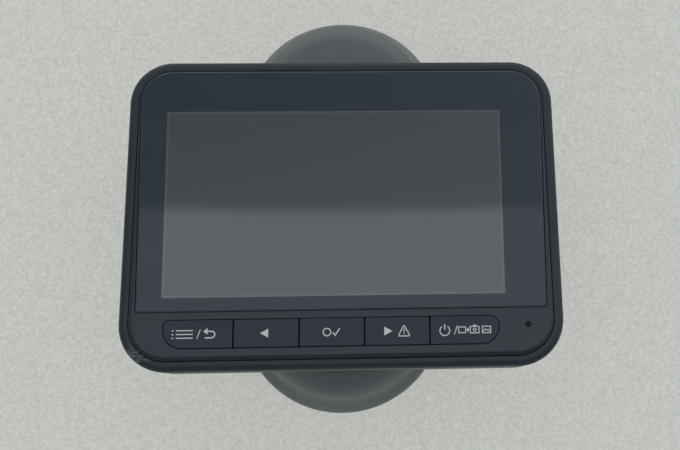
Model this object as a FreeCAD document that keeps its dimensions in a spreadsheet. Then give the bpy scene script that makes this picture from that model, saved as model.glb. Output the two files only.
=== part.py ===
import FreeCAD, Part
import math
import os
import Sketcher

# Dash camera with a folding windscreen mount, in millimetres.
#
# Frame: the origin is the centre of the suction cup's contact face. +Y points out through
# the windscreen, +Z is up and +X is to the right of a driver who looks at the screen.
# The camera is modelled folded flat against its mount, with the screen facing -Y.
#
# The camera has a frame of its own, used by every piece that rides in it: its origin is the
# middle of the housing on the outer face of the cover glass, and +Y runs from the screen to
# the lens. The mount's pieces are modelled straight in the part's frame.

DIMENSIONS = {
    # where the camera sits in front of the contact face
    "screen_depth": 36.0,
    "camera_drop": 7.2,
    "camera_shift": 1.3,
    # camera housing
    "housing_top_width": 85.1,
    "housing_bottom_width": 86.6,
    "housing_height": 62.4,
    "housing_depth": 16.0,
    "housing_draft": 3.0,
    "housing_top_radius": 8.6,
    "housing_bottom_radius": 9.4,
    "housing_front_round": 3.0,
    "housing_rim_round": 1.3,
    "rim_setback": 0.8,
    "shell_wall": 2.0,
    "shell_face": 1.8,
    "case_post_radius": 3.0,
    "board_post_radius": 2.3,
    "bracket_post_radius": 2.6,
    "bracket_post_length": 3.2,
    "post_joint_depth": 9.4,
    "seam_gap": 0.1,
    "bezel_thick": 2.4,
    "bezel_edge_round": 0.9,
    "bezel_skirt": 3.0,
    # screen
    "glass_top": 28.68,
    "glass_bottom": -19.8,
    "glass_half_top": 40.0,
    "glass_half_bottom": 39.7,
    "glass_thick": 0.98,
    "glass_corner": 6.1,
    "glass_low_corner": 0.6,
    "glass_edge_round": 0.3,
    "glass_fit": 0.12,
    "gasket_thick": 0.3,
    "lcd_offset": -1.6,
    "lcd_rise": 1.6,
    "lcd_width": 68.2,
    "lcd_height": 39.4,
    "lcd_thick": 1.5,
    "backlight_thick": 1.75,
    "bracket_sheet": 0.4,
    # row of keys
    "key_row_left": -34.3,
    "key_row_right": 30.2,
    "key_row_top": -21.4,
    "key_row_bottom": -26.8,
    "key_first_edge": -21.0,
    "key_pitch": 12.58,
    "key_gap": 0.2,
    "key_fit": 0.12,
    "key_proud": 0.1,
    "key_edge_round": 0.15,
    "key_board_depth": 4.6,
    "key_board_thick": 0.8,
    # electronics
    "board_depth": 8.3,
    "board_thick": 1.0,
    "board_half_width": 34.5,
    "board_top": 26.5,
    "board_bottom": -27.0,
    "light_hole_offset": 35.9,
    "light_hole_rise": -23.2,
    "light_hole_radius": 0.6,
    "card_offset": -9.7,
    "card_width": 11.0,
    "card_length": 15.0,
    "card_thick": 1.0,
    "card_depth": 6.7,
    "card_setback": 0.5,
    "usb_offset": 22.0,
    "usb_width": 7.8,
    "usb_thick": 3.0,
    # openings for sound and air
    "speaker_offset": -26.0,
    "speaker_rise": -10.0,
    "speaker_back": 10.7,
    "slot_half": 0.6,
    "slot_pitch": 2.6,
    "vent_offset": 20.6,
    "vent_pitch": 2.8,
    "vent_low": -17.0,
    "vent_high": -3.0,
    # lens
    "lens_rise": -6.0,
    "lens_boss_radius": 14.0,
    "lens_boss_height": 2.3,
    "boss_edge_round": 0.6,
    "lens_bore": 10.2,
    "lens_ring_radius": 12.4,
    "lens_ring_inner": 7.9,
    "lens_ring_thick": 1.5,
    "lens_barrel_radius": 7.6,
    "front_lens_radius": 6.6,
    "lens_proud": 0.7,
    # screws
    "case_screw_offset": 38.35,
    "case_screw_top": 23.6,
    "case_screw_bottom": -15.0,
    "board_screw_offset": 31.0,
    "board_screw_top": 20.0,
    "board_screw_bottom": -24.0,
    "bracket_screw_offset": 10.6,
    "bracket_screw_rise": 19.0,
    "screw_radius": 1.0,
    "screw_head": 1.9,
    "screw_clearance": 0.15,
    "screw_sink": 1.6,
    # hinges of the mount
    "hinge_depth": 15.0,
    "camera_hinge_rise": 20.0,
    "base_hinge_rise": -32.3,
    "knuckle_radius": 3.9,
    "pin_radius": 1.6,
    "running_fit": 0.06,
    "arm_half_width": 6.0,
    "arm_near": 16.6,
    "arm_far": 12.6,
    "ear_inner": 6.3,
    "bracket_ear": 2.0,
    "bracket_plate": 1.0,
    "base_ear": 3.0,
    "washer_thick": 0.2,
    # suction base
    "cup_end_radius": 22.4,
    "cup_end_offset": 22.8,
    "cup_blend_angle": 55.0,
    "cup_thick": 4.6,
    "cup_skirt": 1.6,
    "housing_inset": 2.4,
    "base_thick": 6.0,
    "base_edge_round": 5.5,
    "well_radius": 24.2,
    "well_depth": 3.0,
    "lever_disc_radius": 10.0,
    "lever_reach": 23.0,
    "lever_half_width": 4.0,
    "lever_thick": 2.6,
    "lever_sweep": 50.0,
    "stem_radius": 3.0,
    "stem_head_radius": 8.0,
    "stem_head_thick": 1.2,
}

SMALL = 0.1  # how far a cut runs past the face that it opens


class Size:
    """A length that carries its number and the spreadsheet formula that gives it."""

    def __init__(self, value, formula):
        self.value = value
        self.formula = formula

    def __add__(self, other):
        other = size(other)
        return Size(self.value + other.value, f"({self.formula} + {other.formula})")

    def __sub__(self, other):
        other = size(other)
        return Size(self.value - other.value, f"({self.formula} - {other.formula})")

    def __mul__(self, other):
        other = size(other)
        return Size(self.value * other.value, f"({self.formula} * {other.formula})")

    def __truediv__(self, other):
        other = size(other)
        return Size(self.value / other.value, f"({self.formula} / {other.formula})")

    def __neg__(self):
        return Size(-self.value, f"(0 - {self.formula})")

    def __radd__(self, other):
        return size(other) + self

    def __rsub__(self, other):
        return size(other) - self

    def __rmul__(self, other):
        return size(other) * self


def size(number):
    """Makes a Size from a plain number; a Size stays as it is."""
    if isinstance(number, Size):
        return number
    return Size(float(number), f"({float(number):.6f})")


def dim(name):
    """A driving dimension of the spreadsheet."""
    return Size(DIMENSIONS[name], "Dims." + name)


def cosine(angle):
    return Size(math.cos(math.radians(angle.value)), f"cos({angle.formula} * 1 deg)")


def sine(angle):
    return Size(math.sin(math.radians(angle.value)), f"sin({angle.formula} * 1 deg)")


doc = FreeCAD.newDocument("DashCamera")
sheet = doc.addObject("Spreadsheet::Sheet", "Dims")
for row, (alias, value) in enumerate(DIMENSIONS.items(), start=1):
    sheet.set(f"A{row}", alias)
    sheet.set(f"B{row}", str(value))
    sheet.setAlias(f"B{row}", alias)
doc.recompute()

nodes = {}
CAMERA = (dim("camera_shift"), -dim("screen_depth"), -dim("camera_drop"))
BRACKET = (size(0), -dim("screen_depth"), -dim("camera_drop"))
MOUNT = (size(0), size(0), size(0))
TURN = {
    "x": FreeCAD.Rotation(FreeCAD.Vector(0, 1, 0), 90),
    "y": FreeCAD.Rotation(FreeCAD.Vector(1, 0, 0), -90),
    "z": FreeCAD.Rotation(),
}


# ---------------------------------------------------------------- sketches

def bind_place(thing, place, rotation=None):
    """Puts an object at a place given as three Sizes."""
    thing.Placement = FreeCAD.Placement(FreeCAD.Vector(), rotation or FreeCAD.Rotation())
    for axis, value in zip("xyz", place):
        thing.setExpression(f"Placement.Base.{axis}", size(value).formula)


def shifted(frame, x=0, y=0, z=0):
    """A place given in a frame, as a place of the part."""
    return (frame[0] + x, frame[1] + y, frame[2] + z)


def new_body(label, frame, x=0, y=0, z=0):
    body = doc.addObject("PartDesign::Body", label)
    body.Label = label
    bind_place(body, shifted(frame, x, y, z))
    nodes[label] = body
    return body


def fix_number(sketch, kind, *arguments):
    """Adds a dimensional constraint, bound to its formula."""
    *where, number = arguments
    number = size(number)
    index = sketch.addConstraint(Sketcher.Constraint(kind, *where, number.value))
    sketch.setExpression(f"Constraints[{index}]", number.formula)


def fix_point(sketch, geometry, end, x, y):
    fix_number(sketch, "DistanceX", -1, 1, geometry, end, x)
    fix_number(sketch, "DistanceY", -1, 1, geometry, end, y)


def circle(x, y, radius):
    """A drawing step: one circle."""
    def draw(sketch):
        centre = FreeCAD.Vector(size(x).value, size(y).value, 0)
        index = sketch.addGeometry(Part.Circle(centre, FreeCAD.Vector(0, 0, 1), size(radius).value))
        fix_point(sketch, index, 3, x, y)
        fix_number(sketch, "Radius", index, radius)
    return draw


def rounded(corner, before, after, radius):
    """Where a round of this radius leaves the two edges of a corner, and its centre."""
    towards = (before - corner).normalize()
    away = (after - corner).normalize()
    half = towards.getAngle(away) / 2
    leave = radius / math.tan(half)
    middle = (towards + away).normalize()
    return corner + towards * leave, corner + away * leave, corner + middle * (radius / math.sin(half))


def outline(*corners):
    """A drawing step: a closed outline of (x, y, radius) corners, given anticlockwise."""
    corners = [(size(x), size(y), size(radius)) for x, y, radius in corners]

    def draw(sketch):
        count = len(corners)
        points = [FreeCAD.Vector(x.value, y.value, 0) for x, y, _ in corners]
        ends = []
        for i, (_, _, radius) in enumerate(corners):
            if radius.value > 0:
                ends.append(rounded(points[i], points[i - 1], points[(i + 1) % count], radius.value))
            else:
                ends.append((points[i], points[i], None))
        lines = []
        for i in range(count):
            start = ends[i][1]
            stop = ends[(i + 1) % count][0]
            lines.append(sketch.addGeometry(Part.LineSegment(start, stop)))
        for i, (x, y, radius) in enumerate(corners):
            before = lines[i - 1]
            after = lines[i]
            if ends[i][2] is None:
                sketch.addConstraint(Sketcher.Constraint("Coincident", before, 2, after, 1))
                fix_point(sketch, after, 1, x, y)
                continue
            enter, leave, centre = ends[i]
            first = math.atan2(enter.y - centre.y, enter.x - centre.x)
            last = math.atan2(leave.y - centre.y, leave.x - centre.x)
            round_circle = Part.Circle(centre, FreeCAD.Vector(0, 0, 1), radius.value)
            turn = (last - first) % (2 * math.pi)
            convex = turn < math.pi
            if not convex:
                first, last = last, first
            arc = sketch.addGeometry(Part.ArcOfCircle(round_circle, first, last))
            begin, end = (1, 2) if convex else (2, 1)
            corner = sketch.addGeometry(Part.Point(points[i]), True)
            sketch.addConstraint(Sketcher.Constraint("Tangent", before, 2, arc, begin))
            sketch.addConstraint(Sketcher.Constraint("Tangent", arc, end, after, 1))
            sketch.addConstraint(Sketcher.Constraint("PointOnObject", corner, 1, before))
            sketch.addConstraint(Sketcher.Constraint("PointOnObject", corner, 1, after))
            fix_point(sketch, corner, 1, x, y)
            fix_number(sketch, "Radius", arc, radius)
    return draw


def rectangle(left, right, low, high, radius=0):
    return outline((left, low, radius), (right, low, radius), (right, high, radius), (left, high, radius))


def oval(inset=0):
    """A drawing step: the base's four-centre oval, its ends rounder than its sides."""
    angle = dim("cup_blend_angle")
    offset = dim("cup_end_offset")
    end_radius = dim("cup_end_radius") - inset
    side_shift = offset * sine(angle) / cosine(angle)
    side_radius = end_radius + offset / cosine(angle)

    def draw(sketch):
        blend = math.radians(angle.value)
        normal = FreeCAD.Vector(0, 0, 1)
        quarter = math.pi / 2
        pieces = [
            (0, offset, end_radius, quarter - blend, quarter + blend),
            (side_shift, 0, side_radius, quarter + blend, 3 * quarter - blend),
            (0, -offset, end_radius, 3 * quarter - blend, 3 * quarter + blend),
            (-side_shift, 0, side_radius, 3 * quarter + blend, 5 * quarter - blend),
        ]
        arcs = []
        for x, y, radius, first, last in pieces:
            centre = FreeCAD.Vector(size(x).value, size(y).value, 0)
            arc = Part.ArcOfCircle(Part.Circle(centre, normal, radius.value), first, last)
            arcs.append(sketch.addGeometry(arc))
            fix_number(sketch, "DistanceX", -1, 1, arcs[-1], 3, x)
        for arc, y in ((arcs[0], offset), (arcs[2], -offset)):
            fix_number(sketch, "DistanceY", -1, 1, arc, 3, y)
        fix_number(sketch, "Radius", arcs[0], end_radius)
        sketch.addConstraint(Sketcher.Constraint("Equal", arcs[0], arcs[2]))
        for i, arc in enumerate(arcs):
            follower = arcs[(i + 1) % len(arcs)]
            sketch.addConstraint(Sketcher.Constraint("Tangent", arc, 2, follower, 1))
    return draw


def new_sketch(body, name, plane, level, steps):
    """A sketch parallel to one of the body's origin planes, at a level along its normal."""
    sketch = body.newObject("Sketcher::SketchObject", f"{body.Label}_{name}_sketch")
    support = [feature for feature in body.Origin.OriginFeatures if feature.Role == plane][0]
    sketch.AttachmentSupport = (support, [""])
    sketch.MapMode = "FlatFace"
    sketch.setExpression("AttachmentOffset.Base.z", size(level).formula)
    for step in steps:
        step(sketch)
    return sketch


# ---------------------------------------------------------------- features

def extrude(body, name, steps, start, stop, plane="XZ_Plane", draft=None):
    """Adds what the steps draw, from start to stop along the plane's axis.

    With a draft, what is drawn at the far end grows towards the near end by that angle."""
    start, stop = size(start), size(stop)
    level = -stop if plane == "XZ_Plane" else start
    sketch = new_sketch(body, name, plane, level, steps)
    feature = body.newObject("PartDesign::Pad", f"{body.Label}_{name}")
    feature.Profile = sketch
    feature.setExpression("Length", (stop - start).formula)
    if draft is not None:
        feature.setExpression("TaperAngle", f"{draft.formula} * 1 deg")
    doc.recompute()
    return feature


def carve(body, name, steps, start, stop, plane="XZ_Plane"):
    """Cuts away what the steps draw, from start to stop along the plane's axis."""
    start, stop = size(start), size(stop)
    before = body.Shape.Volume
    level = -start if plane == "XZ_Plane" else stop
    sketch = new_sketch(body, name, plane, level, steps)
    feature = body.newObject("PartDesign::Pocket", f"{body.Label}_{name}")
    feature.Profile = sketch
    feature.setExpression("Length", (stop - start).formula)
    doc.recompute()
    if body.Shape.Volume > before - 1e-6:
        raise RuntimeError(f"{feature.Name} cuts nothing")
    return feature


def edges_at(shape, test):
    """The names of the edges whose sampled points all pass a test of their position."""
    names = []
    for index, edge in enumerate(shape.Edges, start=1):
        points = edge.discretize(5)
        if all(test(point) for point in points):
            names.append(f"Edge{index}")
    return names


def near(value, target):
    return abs(value - size(target).value) < 0.01


def soften(body, name, test, radius, kind="Fillet"):
    """Rounds or chamfers the edges that pass the test, in the body's own frame."""
    base = body.Tip
    names = edges_at(base.Shape, test)
    if not names:
        raise RuntimeError(f"{body.Label} {name}: no edge to soften")
    feature = body.newObject(f"PartDesign::{kind}", f"{body.Label}_{name}")
    feature.Base = (base, names)
    feature.setExpression("Radius" if kind == "Fillet" else "Size", size(radius).formula)
    doc.recompute()
    if feature.Shape.isNull() or not feature.Shape.isValid():
        raise RuntimeError(f"{body.Label} {name}: the edge treatment failed")
    return feature


def turned(label, profile, frame, x=0, z=0):
    """A piece turned about its Y axis from (depth, radius) corners."""
    body = new_body(label, frame, x=x, z=z)
    corners = [(depth, radius, 0) for depth, radius in profile]
    sketch = new_sketch(body, "profile", "YZ_Plane", 0, [outline(*corners)])
    feature = body.newObject("PartDesign::Revolution", f"{label}_revolution")
    feature.Profile = sketch
    feature.ReferenceAxis = (sketch, ["H_Axis"])
    feature.Angle = 360
    doc.recompute()
    return body


def box(name, left, right, start, stop, low, high):
    """A block between two corners, not yet in a node."""
    thing = doc.addObject("Part::Box", name)
    thing.setExpression("Length", (size(right) - left).formula)
    thing.setExpression("Width", (size(stop) - start).formula)
    thing.setExpression("Height", (size(high) - low).formula)
    bind_place(thing, (size(left), size(start), size(low)))
    return thing


def rod(name, axis, place, radius, length):
    """A cylinder from a place along an axis, not yet in a node."""
    thing = doc.addObject("Part::Cylinder", name)
    thing.setExpression("Radius", size(radius).formula)
    thing.setExpression("Height", size(length).formula)
    bind_place(thing, [size(value) for value in place], TURN[axis])
    return thing


def less(name, base, *tools):
    """The base with the tools cut away."""
    for i, tool in enumerate(tools):
        result = doc.addObject("Part::Cut", f"{name}_cut_{i}")
        result.Base = base
        result.Tool = tool
        base = result
    return base


def joined(name, *pieces):
    result = doc.addObject("Part::MultiFuse", name)
    result.Shapes = list(pieces)
    return result


def node(label, thing, frame):
    """Names a finished piece and places it from its frame."""
    holder = doc.addObject("Part::Compound", label)
    holder.Label = label
    holder.Links = thing if isinstance(thing, list) else [thing]
    bind_place(holder, frame)
    nodes[label] = holder


# ---------------------------------------------------------------- shared outlines and places

def housing_outline(inset=0):
    """The housing's outline, a little wider at the bottom than at the top."""
    top = dim("housing_top_width") / 2 - inset
    bottom = dim("housing_bottom_width") / 2 - inset
    half_height = dim("housing_height") / 2 - inset
    top_radius = dim("housing_top_radius") - inset
    bottom_radius = dim("housing_bottom_radius") - inset
    return outline(
        (-bottom, -half_height, bottom_radius),
        (bottom, -half_height, bottom_radius),
        (top, half_height, top_radius),
        (-top, half_height, top_radius),
    )


def glass_outline(inset=0):
    top = dim("glass_half_top") - inset
    bottom = dim("glass_half_bottom") - inset
    low = dim("glass_bottom") + inset
    high = dim("glass_top") - inset
    round_low = dim("glass_low_corner")
    round_top = dim("glass_corner") - inset
    return outline(
        (-bottom, low, round_low),
        (bottom, low, round_low),
        (top, high, round_top),
        (-top, high, round_top),
    )


def lcd_window(margin=0):
    half_width = dim("lcd_width") / 2 + margin
    half_height = dim("lcd_height") / 2 + margin
    left = dim("lcd_offset") - half_width
    right = dim("lcd_offset") + half_width
    low = dim("lcd_rise") - half_height
    high = dim("lcd_rise") + half_height
    return left, right, low, high


def corners_of(half_width, high, low):
    """Four places mirrored left and right, at two heights."""
    return [(side * half_width, level) for level in (high, low) for side in (-1, 1)]


def circles(places, radius):
    """Drawing steps: one circle of this radius at each place."""
    return [circle(x, z, radius) for x, z in places]


CASE_SCREWS = corners_of(dim("case_screw_offset"), dim("case_screw_top"), dim("case_screw_bottom"))
BOARD_SCREWS = corners_of(dim("board_screw_offset"), dim("board_screw_top"), dim("board_screw_bottom"))
BRACKET_SCREWS = [
    (side * dim("bracket_screw_offset") - dim("camera_shift"), dim("bracket_screw_rise"))
    for side in (-1, 1)
]
SPEAKER = (dim("speaker_offset"), dim("speaker_rise"))
LENS = (0, dim("lens_rise"))
BOARD_BACK = dim("board_depth") + dim("board_thick")
INNER_FACE = dim("housing_depth") - dim("shell_face")
BOSS_TOP = dim("housing_depth") + dim("lens_boss_height")
HINGE_IN_CAMERA = (
    dim("screen_depth") - dim("hinge_depth"),
    dim("camera_hinge_rise") + dim("camera_drop"),
)

# The five keys, left to right: their edges and the radii of the row's end corners.
KEY_NAMES = ["menu_key", "previous_key", "confirm_key", "next_key", "power_key"]
KEY_EDGES = [dim("key_row_left")]
KEY_EDGES += [dim("key_first_edge") + dim("key_pitch") * i for i in range(len(KEY_NAMES) - 1)]
KEY_EDGES += [dim("key_row_right")]
ROW_BOTTOM_LEFT, ROW_TOP_LEFT = 3.6, 1.2
ROW_BOTTOM_RIGHT, ROW_TOP_RIGHT = 3.4, 1.8
KEY_INNER_CORNER = 0.3


# ---------------------------------------------------------------- camera housing

def front_shell():
    """The deep half of the housing: rounded walls, the lens boss and the screw posts."""
    shell = new_body("front_shell", CAMERA)
    rim = dim("rim_setback")
    face = dim("housing_depth")
    draft = dim("housing_draft")
    shrink = (face - rim) * sine(draft) / cosine(draft)
    extrude(shell, "block", [housing_outline(shrink)], rim, face, draft=draft)
    soften(shell, "front_round", lambda p: near(p.y, face), dim("housing_front_round"))
    soften(shell, "rim_round", lambda p: near(p.y, rim), dim("housing_rim_round"))
    boss = circle(*LENS, dim("lens_boss_radius"))
    extrude(shell, "lens_boss", [boss], INNER_FACE, BOSS_TOP)
    soften(shell, "boss_edge", lambda p: near(p.y, BOSS_TOP), dim("boss_edge_round"))
    carve(shell, "cavity", [housing_outline(dim("shell_wall"))], rim - SMALL, INNER_FACE)
    shell_posts(shell)
    carve(shell, "lens_bore", [circle(*LENS, dim("lens_bore"))], INNER_FACE - SMALL, BOSS_TOP + SMALL)
    seat = circle(*LENS, dim("lens_ring_radius") + SMALL)
    carve(shell, "ring_seat", [seat], BOSS_TOP - dim("lens_ring_thick"), BOSS_TOP + SMALL)
    shell_openings(shell)


def shell_posts(shell):
    """The posts inside the shell, with the holes for the three sets of screws."""
    face = dim("housing_depth")
    joint = dim("post_joint_depth")
    board_start = BOARD_BACK + 0.05
    bracket_start = INNER_FACE - dim("bracket_post_length")
    board_bore_stop = face - 3.0
    top = INNER_FACE + SMALL
    extrude(shell, "case_posts", circles(CASE_SCREWS, dim("case_post_radius")), joint + SMALL, top)
    extrude(shell, "board_posts", circles(BOARD_SCREWS, dim("board_post_radius")), board_start, top)
    extrude(shell, "bracket_posts", circles(BRACKET_SCREWS, dim("bracket_post_radius")), bracket_start, top)
    radius = dim("screw_radius")
    clear = radius + dim("screw_clearance")
    sink = dim("screw_head") + dim("screw_clearance")
    beyond = face + SMALL
    carve(shell, "case_holes", circles(CASE_SCREWS, clear), joint, beyond)
    carve(shell, "case_sinks", circles(CASE_SCREWS, sink), face - dim("screw_sink"), beyond)
    carve(shell, "board_holes", circles(BOARD_SCREWS, radius - SMALL), board_start - SMALL, board_bore_stop)
    carve(shell, "bracket_holes", circles(BRACKET_SCREWS, radius), bracket_start - SMALL, beyond)


def shell_openings(shell):
    """The speaker's slots, the vents, the memory card's slot and the power socket's slot."""
    half = dim("slot_half")
    corner = 0.55
    slots = []
    for step, reach in ((-2, 4.2), (-1, 6.0), (0, 6.6), (1, 6.0), (2, 4.2)):
        rise = SPEAKER[1] + step * dim("slot_pitch")
        slots.append(rectangle(SPEAKER[0] - reach, SPEAKER[0] + reach, rise - half, rise + half, corner))
    inside = INNER_FACE - SMALL
    outside = dim("housing_depth") + SMALL
    carve(shell, "speaker_slots", slots, inside, outside)
    vents = []
    for step in range(6):
        middle = dim("vent_offset") + step * dim("vent_pitch")
        vents.append(rectangle(middle - half, middle + half, dim("vent_low"), dim("vent_high"), corner))
    carve(shell, "vents", vents, inside, outside)
    half_height = dim("housing_height") / 2
    card_half = dim("card_width") / 2 + 0.5
    card_fit = 0.3
    card_slot = rectangle(
        dim("card_offset") - card_half, dim("card_offset") + card_half,
        dim("card_depth") - card_fit, dim("card_depth") + dim("card_thick") + card_fit, 0.5,
    )
    carve(shell, "card_slot", [card_slot], -half_height - 1, -half_height + 3, "XY_Plane")
    usb_half = dim("usb_width") / 2 + 0.3
    usb_start = BOARD_BACK - 0.1
    usb_stop = usb_start + dim("usb_thick") + 0.5
    usb_slot = rectangle(
        dim("usb_offset") - usb_half, dim("usb_offset") + usb_half, usb_start, usb_stop, 0.9,
    )
    carve(shell, "usb_slot", [usb_slot], half_height - 3, half_height + 1, "XY_Plane")


def rear_bezel():
    """The screen side's frame: a plate with a skirt inside the shell and four screw bosses."""
    bezel = new_body("rear_bezel", CAMERA)
    inset = dim("shell_wall") + dim("seam_gap")
    thick = dim("bezel_thick")
    recess = dim("glass_thick") + dim("gasket_thick") + 0.02
    skirt_wall = 1.5
    boss_radius = 2.0
    boss_bore_start = 4.2
    extrude(bezel, "plate", [housing_outline(inset)], 0, thick)
    soften(bezel, "edge_round", lambda p: near(p.y, 0), dim("bezel_edge_round"))
    skirt = [housing_outline(inset), housing_outline(inset + skirt_wall)]
    extrude(bezel, "skirt", skirt, thick - SMALL, thick + dim("bezel_skirt"))
    joint = dim("post_joint_depth")
    extrude(bezel, "bosses", circles(CASE_SCREWS, boss_radius), thick - SMALL, joint)
    carve(bezel, "boss_holes", circles(CASE_SCREWS, dim("screw_radius")), boss_bore_start, joint + SMALL)
    carve(bezel, "glass_recess", [glass_outline(-dim("glass_fit"))], -SMALL, recess)
    carve(bezel, "screen_window", [rectangle(*lcd_window(0.3), 0.5)], recess - SMALL, thick + SMALL)
    carve(bezel, "key_window", [key_row(dim("key_fit"))], -SMALL, thick + SMALL)
    light = circle(dim("light_hole_offset"), dim("light_hole_rise"), dim("light_hole_radius"))
    carve(bezel, "light_hole", [light], -SMALL, thick + SMALL)


def key_row(margin):
    """The outline of the whole row of keys, grown by a margin."""
    left = dim("key_row_left") - margin
    right = dim("key_row_right") + margin
    low = dim("key_row_bottom") - margin
    high = dim("key_row_top") + margin
    return outline(
        (left, low, ROW_BOTTOM_LEFT + margin),
        (right, low, ROW_BOTTOM_RIGHT + margin),
        (right, high, ROW_TOP_RIGHT + margin),
        (left, high, ROW_TOP_LEFT + margin),
    )


def key_cap(index):
    """One key: a cap in the window, a flange behind it and a stem over its switch."""
    key = new_body(KEY_NAMES[index], CAMERA)
    first = index == 0
    last = index == len(KEY_NAMES) - 1
    half_gap = dim("key_gap") / 2
    left = KEY_EDGES[index] if first else KEY_EDGES[index] + half_gap
    right = KEY_EDGES[index + 1] if last else KEY_EDGES[index + 1] - half_gap
    low = dim("key_row_bottom")
    high = dim("key_row_top")
    cap = outline(
        (left, low, ROW_BOTTOM_LEFT if first else KEY_INNER_CORNER),
        (right, low, ROW_BOTTOM_RIGHT if last else KEY_INNER_CORNER),
        (right, high, ROW_TOP_RIGHT if last else KEY_INNER_CORNER),
        (left, high, ROW_TOP_LEFT if first else KEY_INNER_CORNER),
    )
    back = dim("bezel_thick") + 0.06
    flange_thick = 0.5
    stem_stop = back + flange_thick + 0.25
    extrude(key, "cap", [cap], -dim("key_proud"), back)
    soften(key, "edge", lambda p: near(p.y, -dim("key_proud")), dim("key_edge_round"))
    flange = rectangle(left + 0.4, right - 0.4, low - 0.5, high + 0.5, 0.4)
    extrude(key, "flange", [flange], back, back + flange_thick)
    middle = (left + right) / 2
    extrude(key, "stem", [circle(middle, (low + high) / 2, 1.2)], back + flange_thick - SMALL, stem_stop)
    return middle


# ---------------------------------------------------------------- screen

def screen_stack():
    """Cover glass, gasket, display panel, backlight, steel tray and the ribbon cable."""
    glass = new_body("cover_glass", CAMERA)
    extrude(glass, "plate", [glass_outline()], 0, dim("glass_thick"))
    soften(glass, "edge", lambda p: near(p.y, 0), dim("glass_edge_round"))
    gasket = new_body("glass_gasket", CAMERA)
    ring = [glass_outline(0.4), rectangle(*lcd_window(0.6), 0.8)]
    gasket_back = dim("glass_thick") + dim("gasket_thick")
    extrude(gasket, "ring", ring, dim("glass_thick"), gasket_back)
    panel_start = gasket_back + 0.1
    panel_stop = panel_start + dim("lcd_thick")
    left, right, low, high = lcd_window()
    node("lcd_panel", box("lcd_block", left, right, panel_start, panel_stop, low, high), CAMERA)
    light_start = panel_stop + 0.02
    light_stop = light_start + dim("backlight_thick")
    light = box("backlight_block", left, right, light_start, light_stop, low, high)
    node("lcd_backlight", light, CAMERA)
    lcd_tray(light_stop)
    ribbon = new_body("screen_cable", CAMERA)
    start = light_stop + dim("bracket_sheet") + 0.15
    end = dim("board_depth") - 0.05
    film = 0.2
    low, high = 4.0, 16.0
    path = outline(
        (start, low, 0), (start + film, low, 0), (start + film, high - film, 0),
        (end, high - film, 0), (end, high, 0), (start, high, 0),
    )
    cable_left, cable_right = -30.0, -18.0
    extrude(ribbon, "strip", [path], cable_left, cable_right, "YZ_Plane")


def lcd_tray(light_stop):
    """The folded steel tray round the display, with a round window in its back."""
    left, right, low, high = lcd_window(0.1)
    sheet_thick = dim("bracket_sheet")
    front = dim("bezel_thick") + 0.1
    floor = light_stop + 0.05
    outer = box(
        "tray_outer", left - sheet_thick, right + sheet_thick, front, floor + sheet_thick,
        low - sheet_thick, high + sheet_thick,
    )
    inner = box("tray_inner", left, right, front - 1, floor, low, high)
    window = rod("tray_window", "y", (dim("lcd_offset"), floor - 1, dim("lcd_rise")), 12.0, 3.0)
    node("lcd_bracket", less("lcd_tray", outer, inner, window), CAMERA)


# ---------------------------------------------------------------- boards and what they carry

def key_electronics(key_middles):
    """The board behind the keys, with its switches, the status light's pipe and the microphone."""
    start = dim("key_board_depth")
    stop = start + dim("key_board_thick")
    board = new_body("key_board", CAMERA)
    extrude(board, "plate", [rectangle(-36.0, 37.2, -26.2, -20.2, 0.8)], start, stop)
    row = (dim("key_row_bottom") + dim("key_row_top")) / 2
    half_width, half_height, can_thick = 2.0, 1.6, 0.75
    switches = []
    for i, middle in enumerate(key_middles):
        base = box(
            f"switch_base_{i}", middle - half_width, middle + half_width, start - can_thick, start,
            row - half_height, row + half_height,
        )
        button = rod(f"switch_button_{i}", "y", (middle, start - can_thick - 0.21, row), 0.8, 0.3)
        switches.append(joined(f"switch_{i}", base, button))
    node("key_switches", switches, CAMERA)
    light = (dim("light_hole_offset"), 0.15, dim("light_hole_rise"))
    pipe = rod("light_rod", "y", light, dim("light_hole_radius") - 0.08, start - 0.2)
    node("status_light_pipe", pipe, CAMERA)
    ear_x, ear_z, ear_thick = 32.8, -24.6, 1.3
    can = rod("microphone_can", "y", (ear_x, start - ear_thick, ear_z), 1.8, ear_thick)
    port = rod("microphone_port", "y", (ear_x, start - ear_thick - SMALL, ear_z), 0.4, 0.6)
    node("microphone", less("microphone_body", can, port), CAMERA)


def main_electronics():
    """The main board with its processor, memory, heat spreader and back-up battery."""
    start = dim("board_depth")
    back = BOARD_BACK
    half = dim("board_half_width")
    board = new_body("main_board", CAMERA)
    plate = rectangle(-half, half, dim("board_bottom"), dim("board_top"), 2.0)
    extrude(board, "plate", [plate], start, back)
    holes = circles(BOARD_SCREWS, dim("screw_radius") + 0.2)
    carve(board, "holes", holes, start - SMALL, back + SMALL)
    chip_thick, pad_thick = 1.1, 1.0
    left, low, side = -26.0, 6.0, 12.0
    processor = box("processor_block", left, left + side, back, back + chip_thick, low, low + side)
    node("processor", processor, CAMERA)
    margin = 0.5
    pad_start = back + chip_thick
    pad_stop = pad_start + pad_thick
    pad = box(
        "heat_pad_block", left + margin, left + side - margin, pad_start, pad_stop,
        low + margin, low + side - margin,
    )
    node("heat_pad", pad, CAMERA)
    width, low, high = 8.0, 12.5, 22.5
    chips = [
        box(f"memory_block_{i}", x, x + width, back, back + 1.0, low, high)
        for i, x in enumerate((-9.5, 1.0))
    ]
    node("memory_chips", chips, CAMERA)
    heat_spreader(pad_stop)
    battery = new_body("backup_battery", CAMERA)
    cell = rectangle(14.5, 33.5, -18.0, 10.5, 1.6)
    extrude(battery, "cell", [cell], back + 0.3, back + 4.2)


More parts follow.
